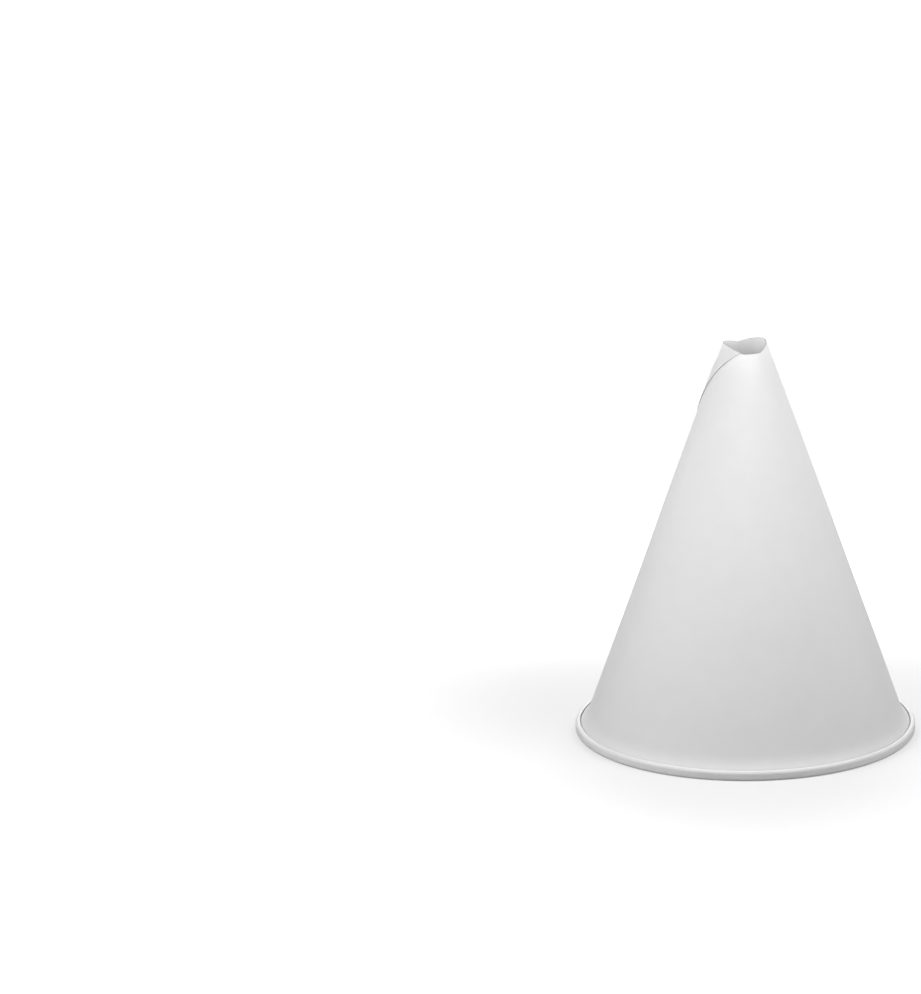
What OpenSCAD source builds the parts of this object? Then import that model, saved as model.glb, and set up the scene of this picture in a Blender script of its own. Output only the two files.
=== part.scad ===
// Paper funnel: one sheet wound into a cone, with its ends lapped and glued along a slanting
// seam, its wide edge flared and rolled outward into a narrow pressed bead, and its point cut
// off for the spout. It stands on the rolled rim with the spout up. The origin is the centre of
// the rim, on the surface that it stands on. Azimuths turn from the front (-Y) toward +X. A
// heading is the sheet's direction in a cut through the axis, from straight down toward outside.

/* [Cone] */
// Diameter over the rolled rim
rim_d = 108; // [80:1:140]
// Height of the spout's highest points above the surface that the rim stands on
height = 127.4; // [90:0.2:180]
// Diameter of the spout at its highest points, to the middle of the paper
spout_d = 13.6; // [10:0.2:24]

/* [Paper] */
// Thickness of the paper
paper_t = 0.3; // [0.2:0.02:0.4]
// Thickness of the glue between the lapped layers
glue_t = 0.03; // [0.02:0.01:0.06]

/* [Rolled rim] */
// Width of the roll, straight out from the cone's axis
roll_w = 1.9; // [1.8:0.1:2.8]
// Height of the roll, which is pressed narrower than it is tall
roll_h = 3.2; // [3:0.1:5]
// Height of the straight part of the roll's inner side, below the shoulder
inner_h = 1.2; // [0.2:0.1:1.6]
// Gap left between the rolled edge and the wall that it faces
roll_gap = 0.12; // [0.06:0.02:0.4]
// Radius of the flare that leads out to the roll
flare_r = 9; // [4:0.5:16]
// Heading at which the flare ends, in degrees
flare_heading = 48; // [40:1:60]
// Radius of the shoulder between the flare and the roll
shoulder_r = 1.5; // [0.8:0.1:3]

/* [Seam] */
// Turn by which the two ends of the sheet lap, in degrees
lap_turn = 30; // [15:1:60]
// Turn past the lap over which the outer layer settles onto the cone, in degrees
settle_turn = 22.5; // [15:0.5:45]
// Angle between the seam's straight edge and the cone's slope, where the spout is highest
seam_lean = 66; // [40:1:75]
// Azimuth of the seam's corner at the spout, in degrees
corner_azimuth = -10; // [-180:1:180]

/* [Spout] */
// Azimuth of the front crease, left from pressing the cone flat to cut the spout, in degrees
crease_azimuth = 16; // [-90:1:90]
// Width of the front crease, which is pressed to a flat and not to a fold, in degrees
crease_flat = 38; // [0:1:90]
// How far the spout's edge dips at the front crease and at the back one
crease_dip = 2.2; // [0:0.1:6]
// How much lower the cut across the spout ends on the left than on the right
cut_slant = 0.5; // [0:0.1:3]
// How far the two creases stand out from the round cone at the spout
crease_rise = 0.6; // [0:0.1:1]
// Distance down the wall over which the creases fade out
crease_fade = 30; // [10:1:60]

/* [Hidden] */

paper_color = [0.93, 0.93, 0.92];

// Angles between neighbouring facets: round the cone and along the flare, and round the roll
column_step = 7.5;
roll_step = 20;

// Outward direction at right angles to the sheet, and length of an arc
function outward(heading) = [cos(heading), sin(heading)];
function arc(radius, angle) = radius * angle * PI / 180;

// The roll: two half circles through the middle of the paper, one over the other. The lower one
// has two rows of points level at its foot.
curl_r = (roll_w - paper_t) / 2;
roll_centre_r = (rim_d - roll_w) / 2;
foot_z = roll_w / 2 * cos(roll_step / 2);
leg_h = roll_h - roll_w;
foot_centre = [roll_centre_r, foot_z];
crown_centre = foot_centre + [0, leg_h];

// The flare and the shoulder, which lead smoothly from the wall to the roll's inner side
shoulder_centre = foot_centre + [-curl_r - shoulder_r, inner_h];
flare_centre = shoulder_centre + (shoulder_r + flare_r) * outward(flare_heading);

// The cone: its wall runs from the spout to the flare, which it meets smoothly
spout_to_flare = [flare_centre[0] - spout_d / 2, height - flare_centre[1]];
half_angle = acos(flare_r / norm(spout_to_flare)) - atan2(spout_to_flare[1], spout_to_flare[0]);
apex_z = height + spout_d / 2 / tan(half_angle);
wall_end = (flare_centre[0] - flare_r * cos(half_angle)) / sin(half_angle);

// Slant distance from the cone's point to the highest point of the spout's edge
cut = spout_d / 2 / sin(half_angle);

// The seam's edge: a straight line on the flat sheet that passes this far from the cone's point
edge_offset = cut * sin(seam_lean);

// Distance between the middles of the two lapped layers
layer_t = paper_t + glue_t;

function smoothstep(x) = let (t = min(1, max(0, x))) t * t * (3 - 2 * t);

// Nearness to a crease: 1 on the front flat and on the back fold, 0 at the sides between them
function crease_peak(azimuth) =
    let (
        turned = azimuth - crease_azimuth,
        a = abs(turned - 360 * round(turned / 360)),
        side = 90 - crease_flat / 2
    )
    a > 90 ? a / 90 - 1 : min(1, (90 - a) / side);

// Slant distance from the cone's point to the spout's edge, which dips at the creases
function lip(azimuth) =
    cut + crease_dip * pow(crease_peak(azimuth), 2)
    + cut_slant / 2 * (1 - sin(azimuth - crease_azimuth));

// Azimuth that the seam's edge has turned through at a slant distance from the cone's point
function swing(slant) = acos(edge_offset / slant) / sin(half_angle);

corner_slant = lip(corner_azimuth);
corner_swing = swing(corner_slant);
wall_swing = swing(wall_end) - corner_swing;

function edge_azimuth(slant) = corner_azimuth + corner_swing - swing(slant);

// Rows of points down the wall, each a slant distance. They turn by equal steps along the seam.
wall_steps = round(wall_swing / column_step);
wall_rows = [
    for (k = [0 : wall_steps])
        let (swung = corner_swing + wall_swing * k / wall_steps)
        [edge_offset / cos(swung * sin(half_angle))]
];

// Rows of points round a bend, each [distance along the sheet, heading, [radius, height]]. The
// bend's radius is negative where it turns back toward the axis.
function bend(start, centre, radius, from, to, step) =
    let (count = ceil(abs(to - from) / step))
    [
        for (k = [1 : count])
            let (heading = from + (to - from) * k / count)
            [
                start + arc(abs(radius), abs(heading - from)),
                heading,
                centre - radius * outward(heading)
            ]
    ];

// How far the middle of the paper lies outside the inner layer, and the same of the wall that
// the roll's end faces
function layer(turn) = layer_t * (1 - smoothstep((turn - lap_turn) / settle_turn));
function facing(turn) = turn < 360 ? layer(turn) : layer_t;

// Heading at which the roll ends, where its outer corner comes within the gap of that wall
function roll_end(faced) = 360 - acos((curl_r - faced - paper_t / 2 - roll_gap) / (roll_w / 2));

// Distances along the sheet at which the shoulder and the roll's two half circles start
shoulder_start = wall_end + arc(flare_r, flare_heading - half_angle);
foot_start = shoulder_start + arc(shoulder_r, flare_heading) + inner_h;
crown_start = foot_start + arc(curl_r, 180) + leg_h;

// Rows of points round the roll's upper half circle, each [distance along the sheet at the seam,
// share of the way to the roll's end]
crown_steps = ceil((roll_end(0) - 180) / roll_step);
crown_rows = [
    for (k = [1 : crown_steps])
        let (share = k / crown_steps)
        [crown_start + arc(curl_r, share * (roll_end(layer_t) - 180)), share]
];

rows = [
    each wall_rows,
    each bend(wall_end, flare_centre, flare_r, half_angle, flare_heading, column_step),
    each bend(shoulder_start, shoulder_centre, -shoulder_r, flare_heading, 0, roll_step),
    [foot_start, 0, foot_centre - [curl_r, 0]],
    each bend(foot_start, foot_centre, curl_r, 0, 180, roll_step),
    [crown_start, 180, crown_centre + [curl_r, 0]],
    each crown_rows
];

// Columns of points, as the turn from the seam's outer edge, which faces +X at the front, back
// round to its inner edge. They start at the inner edge, so that azimuths rise along a row. The
// lapped columns stand at the same azimuths in both layers.
lap_columns = ceil(lap_turn / column_step);
round_columns = ceil((360 - lap_turn) / column_step);
lap_turns = [for (j = [lap_columns : -1 : 0]) lap_turn * j / lap_columns];
columns = [
    for (turn = lap_turns)
        360 + turn,
    for (j = [round_columns - 1 : -1 : 1])
        lap_turn + (360 - lap_turn) * j / round_columns,
    each lap_turns
];

// Radial push at the spout: out at the two creases and half as far in at the sides between them
function crease_push(azimuth, slant) =
    let (near = 1 - min(1, (slant - cut) / crease_fade))
    crease_rise * (1.5 * pow(crease_peak(azimuth), 2) - 0.5) * pow(near, 2);

// Wall rows follow the spout's edge at the top and come level toward the flare
function wall_slant(slant, azimuth) =
    let (near = (wall_end - slant) / (wall_end - corner_slant))
    slant + pow(near, 2) * (lip(azimuth) - lip(edge_azimuth(slant)));

// Radius and height of a point of the sheet on the wall, and on the roll's upper half circle
function wall_profile(slant, azimuth, offset) =
    [crease_push(azimuth, slant), apex_z]
    + slant * [sin(half_angle), -cos(half_angle)] + offset * outward(half_angle);
function crown_profile(share, faced, offset) =
    crown_centre - (curl_r - offset) * outward(180 + share * (roll_end(faced) - 180));

// Point of the sheet at a row and a column, on one of its two faces
function sheet_point(row, turn, face) =
    let (
        azimuth = edge_azimuth(row[0]) - turn,
        offset = layer(turn) + face,
        point =
            len(row) == 1 ? wall_profile(wall_slant(row[0], azimuth), azimuth, offset)
            : len(row) == 2 ? crown_profile(row[1], facing(turn), offset)
            : row[2] + offset * outward(row[1])
    )
    [point[0] * sin(azimuth), -point[0] * cos(azimuth), point[1]];

function quad(a, b, c, d) = [[a, b, c], [a, c, d]];

// A sheet of paper as one closed solid: its outer face, its inner face and its four cut edges
module sheet() {
    last_row = len(rows) - 1;
    last_column = len(columns) - 1;
    face_points = len(rows) * len(columns);
    function outer(i, j) = i * len(columns) + j;
    function inner(i, j) = outer(i, j) + face_points;
    points = [
        for (face = [paper_t / 2, -paper_t / 2])
            for (row = rows)
                for (turn = columns)
                    sheet_point(row, turn, face)
    ];
    faces = [
        for (i = [0 : last_row - 1])
            for (j = [0 : last_column - 1])
                each concat(
                    quad(outer(i, j), outer(i, j + 1), outer(i + 1, j + 1), outer(i + 1, j)),
                    quad(inner(i + 1, j + 1), inner(i, j + 1), inner(i, j), inner(i + 1, j))
                ),
        for (j = [0 : last_column - 1])
            each concat(
                quad(outer(0, j + 1), outer(0, j), inner(0, j), inner(0, j + 1)),
                quad(
                    outer(last_row, j), outer(last_row, j + 1),
                    inner(last_row, j + 1), inner(last_row, j)
                )
            ),
        for (i = [0 : last_row - 1])
            each concat(
                quad(outer(i, 0), outer(i + 1, 0), inner(i + 1, 0), inner(i, 0)),
                quad(
                    outer(i + 1, last_column), outer(i, last_column),
                    inner(i, last_column), inner(i + 1, last_column)
                )
            )
    ];
    polyhedron(points = points, faces = faces, convexity = 10);
}

module paper_funnel() {
    color(paper_color)
        sheet();
}

paper_funnel();
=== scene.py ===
"""A paper funnel standing on its rolled rim: one wound sheet, its paper, its light and its camera.

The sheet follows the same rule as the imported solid, at a finer grid. Sizes are in millimetres and
angles in degrees, unless a name or a comment says otherwise, and MM turns a size into the frame's
metres. Azimuths turn from the front (-Y) toward +X. A heading is the sheet's direction in a cut
through the axis, from straight down toward outside.
"""
import math

import bpy
import numpy as np
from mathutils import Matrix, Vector


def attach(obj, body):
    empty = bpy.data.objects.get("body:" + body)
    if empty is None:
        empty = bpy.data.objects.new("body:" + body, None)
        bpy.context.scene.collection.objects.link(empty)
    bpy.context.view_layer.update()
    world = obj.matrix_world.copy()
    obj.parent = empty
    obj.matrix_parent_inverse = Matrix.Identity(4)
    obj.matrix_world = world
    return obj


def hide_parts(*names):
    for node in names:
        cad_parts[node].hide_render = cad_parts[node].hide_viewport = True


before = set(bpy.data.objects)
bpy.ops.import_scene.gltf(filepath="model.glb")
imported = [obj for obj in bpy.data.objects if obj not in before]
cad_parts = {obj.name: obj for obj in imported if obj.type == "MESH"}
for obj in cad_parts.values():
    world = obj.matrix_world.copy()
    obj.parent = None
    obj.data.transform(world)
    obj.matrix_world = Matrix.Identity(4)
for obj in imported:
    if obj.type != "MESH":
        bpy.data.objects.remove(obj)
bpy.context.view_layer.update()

MM = 0.001

# Cone
RIM_D = 108.0
HEIGHT = 127.4
SPOUT_D = 13.6

# Paper
PAPER_T = 0.3
GLUE_T = 0.03

# Rolled rim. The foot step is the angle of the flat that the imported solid's roll stands on.
ROLL_W = 1.9
ROLL_H = 3.2
INNER_H = 1.2
ROLL_GAP = 0.12
ROLL_FOOT_STEP = 20.0
FLARE_R = 9.0
FLARE_HEADING = 48.0
SHOULDER_R = 1.5

# Seam, whose outer edge lifts a little near the spout
LAP_TURN = 30.0
SETTLE_TURN = 22.5
SEAM_LEAN = 66.0
CORNER_AZIMUTH = -10.0
SEAM_LIFT = 0.4
SEAM_LIFT_TURN = 7.0
SEAM_LIFT_LENGTH = 15.0

# Spout. The hollow is how far its sides go in, as a share of the creases' rise.
CREASE_AZIMUTH = 16.0
CREASE_FLAT = 38.0
CREASE_DIP = 2.2
CUT_SLANT = 0.5
CREASE_RISE = 0.6
CREASE_HOLLOW = 0.5
CREASE_FADE = 30.0

# Waves in the wall: height, number round the cone, and phase and twist down the wall in radians
WALL_WAVES = ((0.10, 3, 0.8, 2.0), (0.07, 5, 2.1, -3.0), (0.04, 11, 0.3, 4.0))

# Grid of the sheet
WALL_ROWS = 100
BEND_STEP = 8.0
LEG_ROWS = 4
CROWN_ROWS = 16
EDGE_STEP = 0.5
ROUND_STEP = 1.5
SHARP_ANGLE = 50.0

# Paper's surface, with depths in metres and patterns in cycles to the metre
PAPER_TONES = ((0.25, (0.872, 0.872, 0.868, 1.0)), (0.75, (0.888, 0.888, 0.885, 1.0)))
# Cut edges: partly the raw edge's own darker tone, partly painted shade for the seam's dark line
CUT_EDGE_TONE_AND_SHADE = (0.38, 0.38, 0.37, 1.0)
PAPER_GLOSS = 0.25
GLOW_SHARE = 0.8
GLOW_DEPTH = 0.001
CLOUD_SCALE = 180.0
FIBRE_SCALE = 1100.0
FIBRE_STRETCH = (1.0, 4.0, 1.0)
FIBRE_BUMP = 0.25
FIBRE_DEPTH = 0.00004
FIBRE_ROUGHNESS = (0.62, 0.78)

# A colour Mix node's sockets by number, because they share their names with its other sockets
MIX_FACTOR, MIX_FIRST, MIX_SECOND, MIX_RESULT = 0, 6, 7, 2

# Floor, in metres: its half width, and the distances between which its own white rises to full.
# The white is lower near the funnel, a painted pool of shade round the real shadow.
FLOOR_REACH = 6.0
FLOOR_TONE = (0.4, 0.4, 0.4, 1.0)
WHITE_START = 0.05
WHITE_FULL = 0.22
WHITE_UNDER_PAINTED_SHADE = 0.50

# Lamps, in metres and watts: name, place, width and power
LAMPS = (
    ("left_lamp", (-0.145, -0.13, 0.17), 0.16, 0.40),
    ("right_lamp", (0.15, -0.10, 0.19), 0.16, 0.38),
    ("back_lamp", (0.0, 0.21, 0.14), 0.18, 0.53),
)
LAMP_TARGET = (0.0, 0.0, 0.08)
SURROUND_LEVEL = 0.06

# Photograph's frame and the place of the rim's centre in it, in pixels
IMAGE_W = 921
IMAGE_H = 994
RIM_CENTRE_PX = (745.2, 728.0)

# Camera
SENSOR = 36.0
LENS = 235.0
CAMERA_DISTANCE = 2070.0
CAMERA_ELEVATION = 18.0
CAMERA_REACH_M = 100.0

# Values worked out from the sizes
LAYER_T = PAPER_T + GLUE_T
CURL_R = (ROLL_W - PAPER_T) / 2
LEG_H = ROLL_H - ROLL_W
FOOT_R = (RIM_D - ROLL_W) / 2
FOOT_Z = ROLL_W / 2 * math.cos(math.radians(ROLL_FOOT_STEP / 2))
CROWN_Z = FOOT_Z + LEG_H
SHOULDER_CENTRE_R = FOOT_R - CURL_R - SHOULDER_R
SHOULDER_CENTRE_Z = FOOT_Z + INNER_H
FLARE_CENTRE_R = SHOULDER_CENTRE_R + (SHOULDER_R + FLARE_R) * math.cos(math.radians(FLARE_HEADING))
FLARE_CENTRE_Z = SHOULDER_CENTRE_Z + (SHOULDER_R + FLARE_R) * math.sin(math.radians(FLARE_HEADING))
ACROSS = FLARE_CENTRE_R - SPOUT_D / 2
DOWN = HEIGHT - FLARE_CENTRE_Z
HALF_ANGLE = math.acos(FLARE_R / math.hypot(ACROSS, DOWN)) - math.atan2(DOWN, ACROSS)
SIN_HALF = math.sin(HALF_ANGLE)
COS_HALF = math.cos(HALF_ANGLE)
APEX_Z = HEIGHT + SPOUT_D / 2 * COS_HALF / SIN_HALF
WALL_END = (FLARE_CENTRE_R - FLARE_R * COS_HALF) / SIN_HALF
CUT = SPOUT_D / 2 / SIN_HALF
EDGE_OFFSET = CUT * math.sin(math.radians(SEAM_LEAN))


def smoothstep(x):
    """Rise from 0 to 1 with level ends: three times the square less twice the cube."""
    t = np.clip(x, 0.0, 1.0)
    return t * t * (3.0 - 2.0 * t)


def crease_peak(azimuth):
    """Nearness to a crease: a tent, 1 on the front flat and on the back fold, 0 at the sides."""
    a = np.abs(np.mod(azimuth - CREASE_AZIMUTH + 180.0, 360.0) - 180.0)
    front = np.minimum(1.0, (90.0 - a) / (90.0 - CREASE_FLAT / 2))
    return np.where(a > 90.0, a / 90.0 - 1.0, front)


def spout_edge(azimuth):
    """Slant distance from the cone's point to the cut edge.

    The edge dips by the squared tent at the creases, and a sine round the cone slants it.
    """
    slope = 1.0 - np.sin(np.radians(azimuth - CREASE_AZIMUTH))
    return CUT + CREASE_DIP * crease_peak(azimuth) ** 2 + CUT_SLANT / 2 * slope


def seam_swing(slant):
    """Azimuth that a straight edge of the flat sheet turns through on the cone.

    It is the arccosine of the edge's offset over the slant, over the sine of the half angle.
    """
    return np.degrees(np.arccos(EDGE_OFFSET / slant)) / SIN_HALF


CORNER_SLANT = float(spout_edge(CORNER_AZIMUTH))


def seam_azimuth(slant):
    """Azimuth of the seam's outer edge: the corner's, less the swing from there to the slant."""
    return CORNER_AZIMUTH + seam_swing(CORNER_SLANT) - seam_swing(slant)


def crease_push(azimuth, slant):
    """Radial push at the spout: the squared tent, out at the creases and in at the sides.

    It fades out down the wall by the square of the distance that is left.
    """
    near = 1.0 - np.minimum(1.0, (slant - CUT) / CREASE_FADE)
    tent = (1.0 + CREASE_HOLLOW) * crease_peak(azimuth) ** 2 - CREASE_HOLLOW
    return CREASE_RISE * tent * near ** 2


def wall_waves(azimuth, slant):
    """Slight unevenness of wound paper: a sum of sines round the cone, none at the wall's ends."""
    a = np.radians(azimuth)
    along = np.clip((slant - CORNER_SLANT) / (WALL_END - CORNER_SLANT), 0.0, 1.0)
    waves = sum(
        height * np.sin(number * a + phase + twist * along)
        for height, number, phase, twist in WALL_WAVES)
    return waves * np.sin(math.pi * along)


def sheet_columns():
    """Turns back from the seam's outer edge, the inner edge first, in fine steps at the lap."""
    last = 360.0 + LAP_TURN
    start = np.arange(0.0, LAP_TURN, EDGE_STEP)
    middle = np.arange(LAP_TURN, last - LAP_TURN, ROUND_STEP)
    end = np.arange(last - LAP_TURN, last, ROUND_STEP)
    return np.concatenate([start, middle, end, [last]])[::-1]


def bend(start, centre, radius, first, last):
    """Rows round a circle at equal steps of heading.

    Each row is its distance along the sheet, heading, radius and height. The bend's own radius is
    negative where it turns back toward the axis.
    """
    count = math.ceil(abs(last - first) / BEND_STEP)
    heading = np.linspace(first, last, count + 1)[1:]
    distance = start + abs(radius) * np.radians(np.abs(heading - first))
    a = np.radians(heading)
    r = centre[0] - radius * np.cos(a)
    z = centre[1] - radius * np.sin(a)
    return np.stack([distance, heading, r, z])


def leg(start, heading, radius, z_first, z_last):
    """Rows along an upright side of the roll, at equal steps of height."""
    height = np.linspace(z_first, z_last, LEG_ROWS + 1)[1:]
    even = np.ones(LEG_ROWS)
    return np.stack([start + np.abs(height - z_first), heading * even, radius * even, height])


def lap_layer(turn):
    """Distance outside the inner layer: one layer at the lap, settling smoothly to none past it."""
    return LAYER_T * (1.0 - smoothstep((turn - LAP_TURN) / SETTLE_TURN))


def roll_end(turn):
    """Heading at which the roll ends, its corner within the gap of the wall that it faces."""
    faced = np.where(turn < 360.0, lap_layer(turn), LAYER_T)
    room = CURL_R - faced - PAPER_T / 2 - ROLL_GAP
    return 360.0 - np.degrees(np.arccos(room / (ROLL_W / 2)))


def rim_rows():
    """Rows from the wall's end to the crown: flare, shoulder, inner side, foot and outer side."""
    half = math.degrees(HALF_ANGLE)
    shoulder = WALL_END + FLARE_R * math.radians(FLARE_HEADING - half)
    inner_side = shoulder + SHOULDER_R * math.radians(FLARE_HEADING)
    foot = inner_side + INNER_H
    outer_side = foot + CURL_R * math.pi
    return np.concatenate([
        bend(WALL_END, (FLARE_CENTRE_R, FLARE_CENTRE_Z), FLARE_R, half, FLARE_HEADING),
        bend(shoulder, (SHOULDER_CENTRE_R, SHOULDER_CENTRE_Z), -SHOULDER_R, FLARE_HEADING, 0.0),
        leg(inner_side, 0.0, FOOT_R - CURL_R, SHOULDER_CENTRE_Z, FOOT_Z),
        bend(foot, (FOOT_R, FOOT_Z), CURL_R, 0.0, 180.0),
        leg(outer_side, 180.0, FOOT_R + CURL_R, FOOT_Z, CROWN_Z),
    ], axis=1)


def wound_sheet():
    """Both faces of the paper as arrays [face, row, column, xyz], and the flat sheet's own points.

    The grid is (distance along the sheet from the cone's point, turn from the seam). On the wall a
    point lies at that slant on a cone, and on the rim it lies on the rim's own section. The
    paper's two faces are half its thickness to either side. The outer layer of the lap lies one
    layer out and settles onto the cone past it, and its edge lifts a little near the spout.
    """
    wall = CORNER_SLANT * (WALL_END / CORNER_SLANT) ** np.linspace(0.0, 1.0, WALL_ROWS)[:, None]
    turn = sheet_columns()[None, :]
    rim_distance, rim_heading, rim_r, rim_z = rim_rows()[:, :, None] + 0.0 * turn
    share = np.linspace(0.0, 1.0, CROWN_ROWS + 1)[1:, None]
    crown_heading = 180.0 + share * (roll_end(turn) - 180.0)
    crown_distance = rim_distance[-1, 0] + CURL_R * np.radians(share * (roll_end(0.0) - 180.0))
    crown_r = FOOT_R - CURL_R * np.cos(np.radians(crown_heading))
    crown_z = CROWN_Z - CURL_R * np.sin(np.radians(crown_heading))
    distance = np.concatenate([wall, rim_distance[:, :1], crown_distance])
    edge = seam_azimuth(distance)
    azimuth = edge - turn

    near = np.clip((WALL_END - distance) / (WALL_END - CORNER_SLANT), 0.0, 1.0)
    slant = distance + near ** 2 * (spout_edge(azimuth) - spout_edge(edge))
    wall_r = (slant * SIN_HALF + crease_push(azimuth, slant))[:WALL_ROWS]
    wall_z = (APEX_Z - slant * COS_HALF)[:WALL_ROWS]
    middle_r = np.concatenate([wall_r, rim_r, crown_r])
    middle_z = np.concatenate([wall_z, rim_z, crown_z])
    bent_heading = np.radians(np.concatenate([rim_heading, crown_heading]))
    heading = np.concatenate([np.full_like(wall_r, HALF_ANGLE), bent_heading])

    lift_near = np.clip(1.0 - (distance - CORNER_SLANT) / SEAM_LIFT_LENGTH, 0.0, 1.0) ** 2
    lift = SEAM_LIFT * lift_near * (1.0 - smoothstep(turn / SEAM_LIFT_TURN))
    layer = lap_layer(turn) + lift + wall_waves(azimuth, slant)

    a = np.radians(azimuth)
    faces = []
    for side in (PAPER_T / 2, -PAPER_T / 2):
        radius = middle_r + (layer + side) * np.cos(heading)
        height = middle_z + (layer + side) * np.sin(heading)
        faces.append(np.stack([radius * np.sin(a), -radius * np.cos(a), height], axis=-1))

    flat_angle = a * SIN_HALF
    flat = np.stack([slant * np.cos(flat_angle), slant * np.sin(flat_angle), 0 * slant], axis=-1)
    return np.stack(faces) * MM, np.stack([flat, flat]) * MM


def sheet_quads(rows, columns):
    """Corner numbers of the sheet's outer face, inner face and four cut edges, facing outwards."""
    outer = np.arange(rows * columns).reshape(rows, columns)
    inner = outer + rows * columns

    def strip(a, b, c, d):
        return np.stack([a.ravel(), b.ravel(), c.ravel(), d.ravel()], axis=-1)

    def face(grid):
        return grid[:-1, :-1], grid[1:, :-1], grid[1:, 1:], grid[:-1, 1:]

    return np.concatenate([
        strip(*face(outer)),
        strip(*reversed(face(inner))),
        strip(outer[0, :-1], outer[0, 1:], inner[0, 1:], inner[0, :-1]),
        strip(outer[-1, 1:], outer[-1, :-1], inner[-1, :-1], inner[-1, 1:]),
        strip(outer[1:, 0], outer[:-1, 0], inner[:-1, 0], inner[1:, 0]),
        strip(outer[:-1, -1], outer[1:, -1], inner[1:, -1], inner[:-1, -1]),
    ])


def make_sheet():
    """The wound sheet as one closed mesh, its flat points and cut edges kept as attributes."""
    points, flat = wound_sheet()
    rows, columns = points.shape[1:3]
    quads = sheet_quads(rows, columns)
    cut = (np.arange(len(quads)) >= 2 * (rows - 1) * (columns - 1)).astype(np.float32)
    mesh = bpy.data.meshes.new("wound_paper")
    mesh.vertices.add(points.size // 3)
    mesh.vertices.foreach_set("co", points.ravel())
    mesh.loops.add(quads.size)
    mesh.loops.foreach_set("vertex_index", quads.ravel())
    mesh.polygons.add(len(quads))
    mesh.polygons.foreach_set("loop_start", np.arange(len(quads)) * 4)
    mesh.update(calc_edges=True)
    flat_sheet = mesh.attributes.new("flat_sheet", "FLOAT_VECTOR", "POINT")
    flat_sheet.data.foreach_set("vector", flat.ravel())
    cut_edge = mesh.attributes.new("cut_edge", "FLOAT", "FACE")
    cut_edge.data.foreach_set("value", cut)
    mesh.polygons.foreach_set("use_smooth", np.ones(len(quads), dtype=bool))
    mesh.set_sharp_from_angle(angle=math.radians(SHARP_ANGLE))
    sheet = bpy.data.objects.new("paper_sheet", mesh)
    bpy.context.scene.collection.objects.link(sheet)
    return sheet


def white_paper():
    """Uncoated white paper: cloudy tone, fine fibres along the grain, matte, darker where cut.

    The cut edges' darkness is partly the raw edge's own tone and partly painted shade, for the
    dark line along the seam.
    """
    material = bpy.data.materials.new("white_paper")
    material.use_nodes = True
    nodes = material.node_tree.nodes
    links = material.node_tree.links
    surface = nodes["Principled BSDF"]
    surface.inputs["Specular IOR Level"].default_value = PAPER_GLOSS
    surface.inputs["Subsurface Weight"].default_value = GLOW_SHARE
    surface.inputs["Subsurface Radius"].default_value = (1.0, 1.0, 1.0)
    surface.inputs["Subsurface Scale"].default_value = GLOW_DEPTH

    flat = nodes.new("ShaderNodeAttribute")
    flat.attribute_name = "flat_sheet"

    clouds = nodes.new("ShaderNodeTexNoise")
    clouds.inputs["Scale"].default_value = CLOUD_SCALE
    clouds.inputs["Detail"].default_value = 4.0
    links.new(flat.outputs["Vector"], clouds.inputs["Vector"])

    tint = nodes.new("ShaderNodeValToRGB")
    for stop, (position, tone) in zip(tint.color_ramp.elements, PAPER_TONES):
        stop.position = position
        stop.color = tone
    links.new(clouds.outputs["Fac"], tint.inputs["Fac"])

    # Cut edges darker: partly their own tone, partly painted shade along the seam
    edge = nodes.new("ShaderNodeAttribute")
    edge.attribute_name = "cut_edge"
    edged_and_shaded = nodes.new("ShaderNodeMix")
    edged_and_shaded.data_type = "RGBA"
    edged_and_shaded.inputs[MIX_SECOND].default_value = CUT_EDGE_TONE_AND_SHADE
    links.new(edge.outputs["Fac"], edged_and_shaded.inputs[MIX_FACTOR])
    links.new(tint.outputs["Color"], edged_and_shaded.inputs[MIX_FIRST])
    links.new(edged_and_shaded.outputs[MIX_RESULT], surface.inputs["Base Color"])

    grain = nodes.new("ShaderNodeMapping")
    grain.inputs["Scale"].default_value = FIBRE_STRETCH
    links.new(flat.outputs["Vector"], grain.inputs["Vector"])
    fibres = nodes.new("ShaderNodeTexNoise")
    fibres.inputs["Scale"].default_value = FIBRE_SCALE
    fibres.inputs["Detail"].default_value = 5.0
    fibres.inputs["Roughness"].default_value = 0.6
    links.new(grain.outputs["Vector"], fibres.inputs["Vector"])

    bump = nodes.new("ShaderNodeBump")
    bump.inputs["Strength"].default_value = FIBRE_BUMP
    bump.inputs["Distance"].default_value = FIBRE_DEPTH
    links.new(fibres.outputs["Fac"], bump.inputs["Height"])
    links.new(bump.outputs["Normal"], surface.inputs["Normal"])

    rough = nodes.new("ShaderNodeMapRange")
    rough.inputs["To Min"].default_value, rough.inputs["To Max"].default_value = FIBRE_ROUGHNESS
    links.new(fibres.outputs["Fac"], rough.inputs["Value"])
    links.new(rough.outputs["Result"], surface.inputs["Roughness"])
    return material


def shown_white(nodes, links):
    """1 for the rays that meet the white background, else 0: the greatest of three ray kinds.

    The kinds are camera, glossy and transmission rays.
    """
    path = nodes.new("ShaderNodeLightPath")
    mirrored = nodes.new("ShaderNodeMath")
    mirrored.operation = "MAXIMUM"
    links.new(path.outputs["Is Glossy Ray"], mirrored.inputs[0])
    links.new(path.outputs["Is Transmission Ray"], mirrored.inputs[1])
    shown = nodes.new("ShaderNodeMath")
    shown.operation = "MAXIMUM"
    links.new(path.outputs["Is Camera Ray"], shown.inputs[0])
    links.new(mirrored.outputs["Value"], shown.inputs[1])
    return shown.outputs["Value"]


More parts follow.
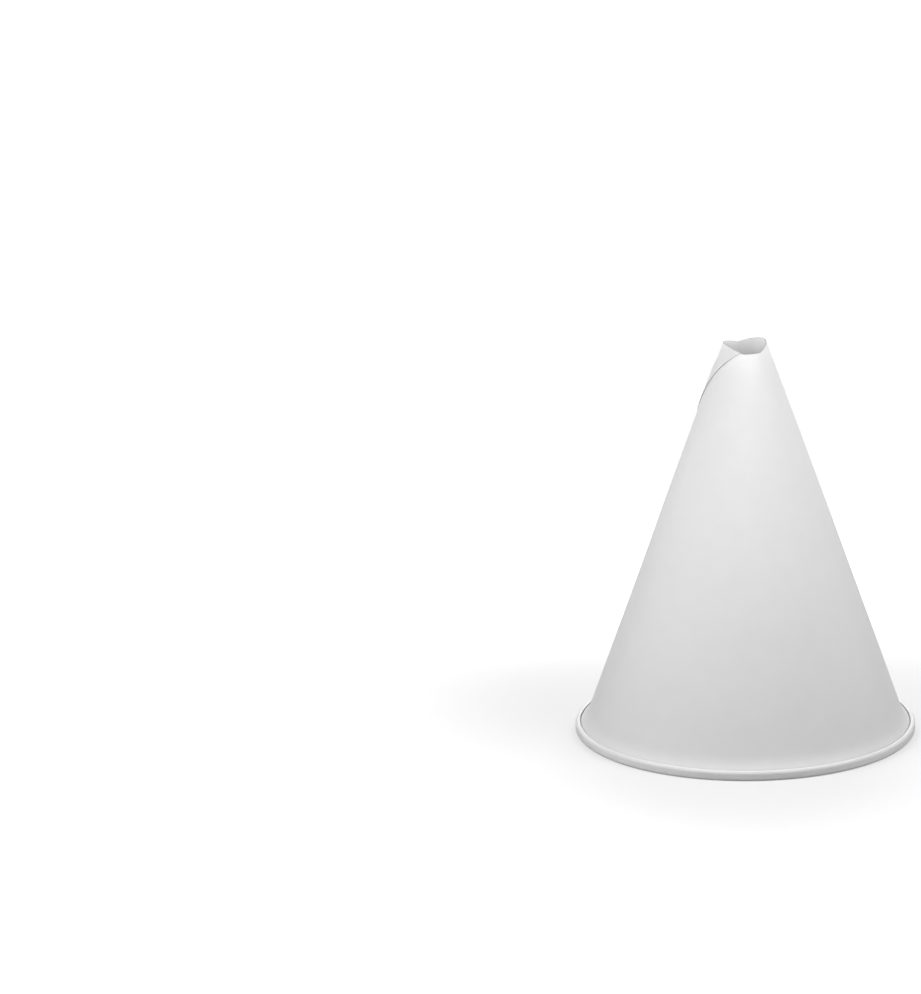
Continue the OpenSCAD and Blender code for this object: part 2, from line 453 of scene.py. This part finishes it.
def pale_floor():
    """A wide pale floor, white away from the funnel and with the soft shadow kept near it.

    Near the funnel its own white is dimmed, a painted pool of shade round the real shadow.
    """
    mesh = bpy.data.meshes.new("floor")
    near, far = -FLOOR_REACH, FLOOR_REACH
    corners = [(near, near, 0.0), (far, near, 0.0), (far, far, 0.0), (near, far, 0.0)]
    mesh.from_pydata(corners, [], [(0, 1, 2, 3)])
    floor = bpy.data.objects.new("floor", mesh)
    bpy.context.scene.collection.objects.link(floor)

    material = bpy.data.materials.new("pale_floor")
    material.use_nodes = True
    nodes = material.node_tree.nodes
    links = material.node_tree.links
    nodes.remove(nodes["Principled BSDF"])
    place = nodes.new("ShaderNodeTexCoord")
    away = nodes.new("ShaderNodeVectorMath")
    away.operation = "LENGTH"
    links.new(place.outputs["Object"], away.inputs[0])
    # White shown to the camera, lower near the funnel: painted shade round the real shadow
    white_with_painted_shade = nodes.new("ShaderNodeMapRange")
    white_with_painted_shade.interpolation_type = "SMOOTHSTEP"
    white_with_painted_shade.inputs["From Min"].default_value = WHITE_START
    white_with_painted_shade.inputs["From Max"].default_value = WHITE_FULL
    white_with_painted_shade.inputs["To Min"].default_value = WHITE_UNDER_PAINTED_SHADE
    links.new(away.outputs["Value"], white_with_painted_shade.inputs["Value"])
    seen = nodes.new("ShaderNodeMath")
    seen.operation = "MULTIPLY"
    links.new(shown_white(nodes, links), seen.inputs[0])
    links.new(white_with_painted_shade.outputs["Result"], seen.inputs[1])
    matt = nodes.new("ShaderNodeBsdfDiffuse")
    matt.inputs["Color"].default_value = FLOOR_TONE
    white = nodes.new("ShaderNodeEmission")
    links.new(seen.outputs["Value"], white.inputs["Strength"])
    both = nodes.new("ShaderNodeAddShader")
    links.new(matt.outputs["BSDF"], both.inputs[0])
    links.new(white.outputs["Emission"], both.inputs[1])
    links.new(both.outputs["Shader"], nodes["Material Output"].inputs["Surface"])
    mesh.materials.append(material)


def lamp(name, place, size, power):
    """A square soft lamp at a place, turned to face the lamps' target."""
    light = bpy.data.lights.new(name, "AREA")
    light.size = size
    light.energy = power
    stand = bpy.data.objects.new(name, light)
    stand.location = place
    aim = Vector(LAMP_TARGET) - Vector(place)
    stand.rotation_euler = aim.to_track_quat("-Z", "Y").to_euler()
    bpy.context.scene.collection.objects.link(stand)


def studio_light():
    """Soft lamps to the left, to the right and behind the funnel, and a dim even surround."""
    for name, place, size, power in LAMPS:
        lamp(name, place, size, power)
    world = bpy.data.worlds.new("white_surround")
    world.use_nodes = True
    nodes = world.node_tree.nodes
    links = world.node_tree.links
    level = nodes.new("ShaderNodeMapRange")
    level.inputs["To Min"].default_value = SURROUND_LEVEL
    level.inputs["To Max"].default_value = 1.0
    links.new(shown_white(nodes, links), level.inputs["Value"])
    links.new(level.outputs["Result"], nodes["Background"].inputs["Strength"])
    nodes["Background"].inputs["Color"].default_value = (1.0, 1.0, 1.0, 1.0)
    bpy.context.scene.world = world


def long_lens_camera():
    """A long lens at the photograph's viewing angle.

    It first faces the rim's centre, and then turns by the angle between its axis and the ray
    through that point's pixel, so that the point lands there.
    """
    data = bpy.data.cameras.new("long_lens")
    data.lens = LENS
    data.sensor_width = SENSOR
    data.clip_end = CAMERA_REACH_M
    camera = bpy.data.objects.new("long_lens", data)
    bpy.context.scene.collection.objects.link(camera)
    bpy.context.scene.camera = camera

    elevation = math.radians(CAMERA_ELEVATION)
    away = Vector((0.0, -math.cos(elevation), math.sin(elevation)))
    focal_px = LENS / SENSOR * max(IMAGE_W, IMAGE_H)
    off_axis = Vector((
        (RIM_CENTRE_PX[0] - IMAGE_W / 2) / focal_px,
        -(RIM_CENTRE_PX[1] - IMAGE_H / 2) / focal_px,
        -1.0))
    facing = (-away).to_track_quat("-Z", "Y").to_matrix()
    turn = Vector((0.0, 0.0, -1.0)).rotation_difference(off_axis).to_matrix()
    camera.matrix_world = (facing @ turn.inverted()).to_4x4()
    camera.location = away * CAMERA_DISTANCE * MM


sheet = make_sheet()
sheet.data.materials.append(white_paper())
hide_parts("paper_funnel")
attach(sheet, "root")

pale_floor()
studio_light()
long_lens_camera()
bpy.context.scene.view_settings.view_transform = "Standard"
